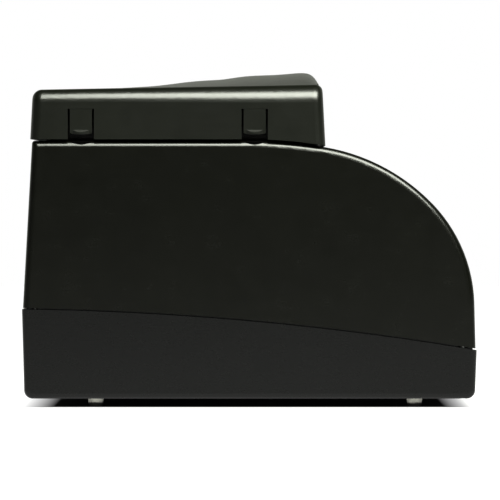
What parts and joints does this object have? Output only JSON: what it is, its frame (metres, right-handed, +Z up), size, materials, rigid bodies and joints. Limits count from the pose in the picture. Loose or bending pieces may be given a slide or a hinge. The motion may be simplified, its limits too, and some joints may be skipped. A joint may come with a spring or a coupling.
{
  "type": "electronic cash register",
  "caption": "Black counter-top cash register with curved side cheeks, sloping keyboard, display, lift-off top cover over a receipt printer, and a sliding cash drawer with till tray.",
  "frame": {"origin": "on the counter, under the middle of the register", "axes": "+Z up, -Y towards the operator, +X to the operator's right"},
  "size_m": [0.3596, 0.425, 0.3159],
  "materials": {
    "case_base": "satin",
    "case_body": "satin",
    "case_cover": "satin",
    "drawer_front": "satin",
    "foot_rubber": "matt",
    "screw_steel": "zinc plated",
    "plated_steel": "zinc plated",
    "drawer_steel": "satin black paint",
    "lock_metal": "polished",
    "tray_plastic": "satin",
    "clip_plastic": "semi-gloss",
    "roller_nylon": "matt",
    "latch_steel": "zinc plated",
    "coil_winding": "varnished",
    "core_steel": "plain",
    "circuit_board": "solder mask",
    "transformer": "varnished laminations",
    "inlet_plastic": "semi-gloss",
    "bezel_plastic": "satin",
    "membrane_film": "matt film",
    "key_light": "satin",
    "key_dark": "satin",
    "key_clear": "satin",
    "key_total": "satin",
    "display_filter": "smoked",
    "display_tube": "clear",
    "printer_plastic": "satin",
    "head_metal": "plain",
    "motor_steel": "plain",
    "platen_rubber": "matt",
    "gear_plastic": "matt",
    "till_paper": "uncoated"
  },
  "bodies": {
    "case": {"base_shell": "case_base", "body_shell": "case_body", "rubber_feet": "foot_rubber", "case_screws": "screw_steel", "drawer_rails": "plated_steel", "latch_bracket": "plated_steel", "release_solenoid": "coil_winding", "chassis_plate": "plated_steel", "main_board": "circuit_board", "power_transformer": "transformer", "power_inlet": "inlet_plastic", "keyboard_bezel": "bezel_plastic", "plu_membrane": "membrane_film", "keyboard_board": "circuit_board", "operator_display_window": "display_filter", "operator_display_module": "display_tube", "customer_display_module": "display_tube", "printer_frame": "printer_plastic", "print_head": "head_metal", "feed_motor": "motor_steel"},
    "drawer": {"drawer_box": "drawer_steel", "drawer_front": "drawer_front", "till_tray": "tray_plastic"},
    "lock_plug": {"drawer_lock_plug": "lock_metal"},
    "clip_1": {"note_clip_1": "clip_plastic"},
    "clip_2": {"note_clip_2": "clip_plastic"},
    "clip_3": {"note_clip_3": "clip_plastic"},
    "clip_4": {"note_clip_4": "clip_plastic"},
    "roller_left": {"drawer_roller_left": "roller_nylon"},
    "roller_right": {"drawer_roller_right": "roller_nylon"},
    "latch": {"latch_lever": "latch_steel"},
    "plunger": {"solenoid_plunger": "core_steel"},
    "cover": {"top_cover": "case_cover", "customer_display_window": "display_filter"},
    "lid": {"printer_lid": "case_cover"},
    "platen": {"platen_roller": "platen_rubber"},
    "pinion": {"motor_pinion": "gear_plastic"},
    "roll": {"paper_roll": "till_paper"},
    "mode_barrel": {"mode_lock": "lock_metal"},
    "tab_left_rear": {"cover_tab_left_rear": "case_cover"},
    "tab_left_front": {"cover_tab_left_front": "case_cover"},
    "tab_right_rear": {"cover_tab_right_rear": "case_cover"},
    "tab_right_front": {"cover_tab_right_front": "case_cover"},
    "key_7_cap": {"key_7": "key_light"},
    "key_8_cap": {"key_8": "key_light"},
    "key_9_cap": {"key_9": "key_light"},
    "key_clear_cap": {"key_clear": "key_clear"},
    "key_4_cap": {"key_4": "key_light"},
    "key_5_cap": {"key_5": "key_light"},
    "key_6_cap": {"key_6": "key_light"},
    "key_multiply_cap": {"key_multiply": "key_dark"},
    "key_1_cap": {"key_1": "key_light"},
    "key_2_cap": {"key_2": "key_light"},
    "key_3_cap": {"key_3": "key_light"},
    "key_minus_cap": {"key_minus": "key_dark"},
    "key_0_cap": {"key_0": "key_light"},
    "key_00_cap": {"key_00": "key_light"},
    "key_point_cap": {"key_point": "key_light"},
    "key_subtotal_cap": {"key_subtotal": "key_dark"},
    "key_total_cap": {"key_total": "key_total"}
  },
  "joints": [
    {"name": "drawer_slide", "type": "slide", "parent": "case", "child": "drawer", "axis": [0, -1, 0], "range_m": [0, 0.275]},
    {"name": "drawer_lock_turn", "type": "hinge", "parent": "drawer", "child": "lock_plug", "pos_m": [0, -0.2092, 0.064], "axis": [0, -1, 0], "range_deg": [0, 90]},
    {"name": "note_clip_1_lift", "type": "hinge", "parent": "drawer", "child": "clip_1", "pos_m": [-0.11494, 0.057, 0.082], "axis": [-1, 0, 0], "range_deg": [0, 125], "stiffness_Nm_per_rad": 0.03, "springref_deg": -34.38},
    {"name": "note_clip_2_lift", "type": "hinge", "parent": "drawer", "child": "clip_2", "pos_m": [-0.03831, 0.057, 0.082], "axis": [-1, 0, 0], "range_deg": [0, 125], "stiffness_Nm_per_rad": 0.03, "springref_deg": -34.38},
    {"name": "note_clip_3_lift", "type": "hinge", "parent": "drawer", "child": "clip_3", "pos_m": [0.03831, 0.057, 0.082], "axis": [-1, 0, 0], "range_deg": [0, 125], "stiffness_Nm_per_rad": 0.03, "springref_deg": -34.38},
    {"name": "note_clip_4_lift", "type": "hinge", "parent": "drawer", "child": "clip_4", "pos_m": [0.11494, 0.057, 0.082], "axis": [-1, 0, 0], "range_deg": [0, 125], "stiffness_Nm_per_rad": 0.03, "springref_deg": -34.38},
    {"name": "latch_swing", "type": "hinge", "parent": "case", "child": "latch", "pos_m": [0, 0.185, 0.051], "axis": [-1, 0, 0], "range_deg": [0, 14]},
    {"name": "cover_lift", "type": "slide", "parent": "case", "child": "cover", "axis": [0, 0, 1], "range_m": [0, 0.09]},
    {"name": "printer_lid_swing", "type": "hinge", "parent": "cover", "child": "lid", "pos_m": [0.061, 0.118, 0.29583], "axis": [-1, 0, 0], "range_deg": [0, 70]},
    {"name": "platen_spin", "type": "hinge", "parent": "case", "child": "platen", "pos_m": [-0.06, -0.03, 0.284], "axis": [1, 0, 0], "continuous": true},
    {"name": "paper_roll_spin", "type": "hinge", "parent": "case", "child": "roll", "pos_m": [-0.06, 0.04, 0.258], "axis": [1, 0, 0], "continuous": true},
    {"name": "mode_lock_turn", "type": "hinge", "parent": "case", "child": "mode_barrel", "pos_m": [0.134, -0.13087, 0.16765], "axis": [0, -0.5592, 0.829], "range_deg": [-60, 120]},
    {"name": "tab_left_rear_flex", "type": "hinge", "parent": "cover", "child": "tab_left_rear", "pos_m": [-0.17356, 0.1574, 0.2778], "axis": [0, -1, 0], "range_deg": [0, 6], "stiffness_Nm_per_rad": 4},
    {"name": "tab_left_front_flex", "type": "hinge", "parent": "cover", "child": "tab_left_front", "pos_m": [-0.17356, -0.005, 0.2778], "axis": [0, -1, 0], "range_deg": [0, 6], "stiffness_Nm_per_rad": 4},
    {"name": "tab_right_rear_flex", "type": "hinge", "parent": "cover", "child": "tab_right_rear", "pos_m": [0.17356, 0.1574, 0.2778], "axis": [0, 1, 0], "range_deg": [0, 6], "stiffness_Nm_per_rad": 4},
    {"name": "tab_right_front_flex", "type": "hinge", "parent": "cover", "child": "tab_right_front", "pos_m": [0.17356, -0.005, 0.2778], "axis": [0, 1, 0], "range_deg": [0, 6], "stiffness_Nm_per_rad": 4},
    {"name": "roller_left_spin", "type": "hinge", "parent": "case", "child": "roller_left", "pos_m": [-0.163, -0.172, 0.039], "axis": [1, 0, 0], "continuous": true},
    {"name": "roller_right_spin", "type": "hinge", "parent": "case", "child": "roller_right", "pos_m": [0.163, -0.172, 0.039], "axis": [1, 0, 0], "continuous": true},
    {"name": "plunger_travel", "type": "slide", "parent": "case", "child": "plunger", "axis": [0, 0, -1], "range_m": [0, 0.0025]},
    {"name": "pinion_spin", "type": "hinge", "parent": "case", "child": "pinion", "pos_m": [0.101, -0.02224, 0.25502], "axis": [1, 0, 0], "continuous": true},
    {"name": "key_7_press", "type": "slide", "parent": "case", "child": "key_7_cap", "axis": [0, 0.5592, -0.829], "range_m": [0, 0.003], "stiffness_N_per_m": 220, "springref_m": -0.001},
    {"name": "key_8_press", "type": "slide", "parent": "case", "child": "key_8_cap", "axis": [0, 0.5592, -0.829], "range_m": [0, 0.003], "stiffness_N_per_m": 220, "springref_m": -0.001},
    {"name": "key_9_press", "type": "slide", "parent": "case", "child": "key_9_cap", "axis": [0, 0.5592, -0.829], "range_m": [0, 0.003], "stiffness_N_per_m": 220, "springref_m": -0.001},
    {"name": "key_clear_press", "type": "slide", "parent": "case", "child": "key_clear_cap", "axis": [0, 0.5592, -0.829], "range_m": [0, 0.003], "stiffness_N_per_m": 220, "springref_m": -0.001},
    {"name": "key_4_press", "type": "slide", "parent": "case", "child": "key_4_cap", "axis": [0, 0.5592, -0.829], "range_m": [0, 0.003], "stiffness_N_per_m": 220, "springref_m": -0.001},
    {"name": "key_5_press", "type": "slide", "parent": "case", "child": "key_5_cap", "axis": [0, 0.5592, -0.829], "range_m": [0, 0.003], "stiffness_N_per_m": 220, "springref_m": -0.001},
    {"name": "key_6_press", "type": "slide", "parent": "case", "child": "key_6_cap", "axis": [0, 0.5592, -0.829], "range_m": [0, 0.003], "stiffness_N_per_m": 220, "springref_m": -0.001},
    {"name": "key_multiply_press", "type": "slide", "parent": "case", "child": "key_multiply_cap", "axis": [0, 0.5592, -0.829], "range_m": [0, 0.003], "stiffness_N_per_m": 220, "springref_m": -0.001},
    {"name": "key_1_press", "type": "slide", "parent": "case", "child": "key_1_cap", "axis": [0, 0.5592, -0.829], "range_m": [0, 0.003], "stiffness_N_per_m": 220, "springref_m": -0.001},
    {"name": "key_2_press", "type": "slide", "parent": "case", "child": "key_2_cap", "axis": [0, 0.5592, -0.829], "range_m": [0, 0.003], "stiffness_N_per_m": 220, "springref_m": -0.001},
    {"name": "key_3_press", "type": "slide", "parent": "case", "child": "key_3_cap", "axis": [0, 0.5592, -0.829], "range_m": [0, 0.003], "stiffness_N_per_m": 220, "springref_m": -0.001},
    {"name": "key_minus_press", "type": "slide", "parent": "case", "child": "key_minus_cap", "axis": [0, 0.5592, -0.829], "range_m": [0, 0.003], "stiffness_N_per_m": 220, "springref_m": -0.001},
    {"name": "key_0_press", "type": "slide", "parent": "case", "child": "key_0_cap", "axis": [0, 0.5592, -0.829], "range_m": [0, 0.003], "stiffness_N_per_m": 220, "springref_m": -0.001},
    {"name": "key_00_press", "type": "slide", "parent": "case", "child": "key_00_cap", "axis": [0, 0.5592, -0.829], "range_m": [0, 0.003], "stiffness_N_per_m": 220, "springref_m": -0.001},
    {"name": "key_point_press", "type": "slide", "parent": "case", "child": "key_point_cap", "axis": [0, 0.5592, -0.829], "range_m": [0, 0.003], "stiffness_N_per_m": 220, "springref_m": -0.001},
    {"name": "key_subtotal_press", "type": "slide", "parent": "case", "child": "key_subtotal_cap", "axis": [0, 0.5592, -0.829], "range_m": [0, 0.003], "stiffness_N_per_m": 220, "springref_m": -0.001},
    {"name": "key_total_press", "type": "slide", "parent": "case", "child": "key_total_cap", "axis": [0, 0.5592, -0.829], "range_m": [0, 0.003], "stiffness_N_per_m": 220, "springref_m": -0.001}
  ],
  "couplings": [
    {"joint": "roller_left_spin", "follows": "drawer_slide", "rad_per_m": 144.93},
    {"joint": "roller_right_spin", "follows": "drawer_slide", "rad_per_m": 144.93},
    {"joint": "plunger_travel", "follows": "latch_swing", "m_per_rad": 0.009901},
    {"joint": "pinion_spin", "follows": "platen_spin", "ratio": -2}
  ]
}
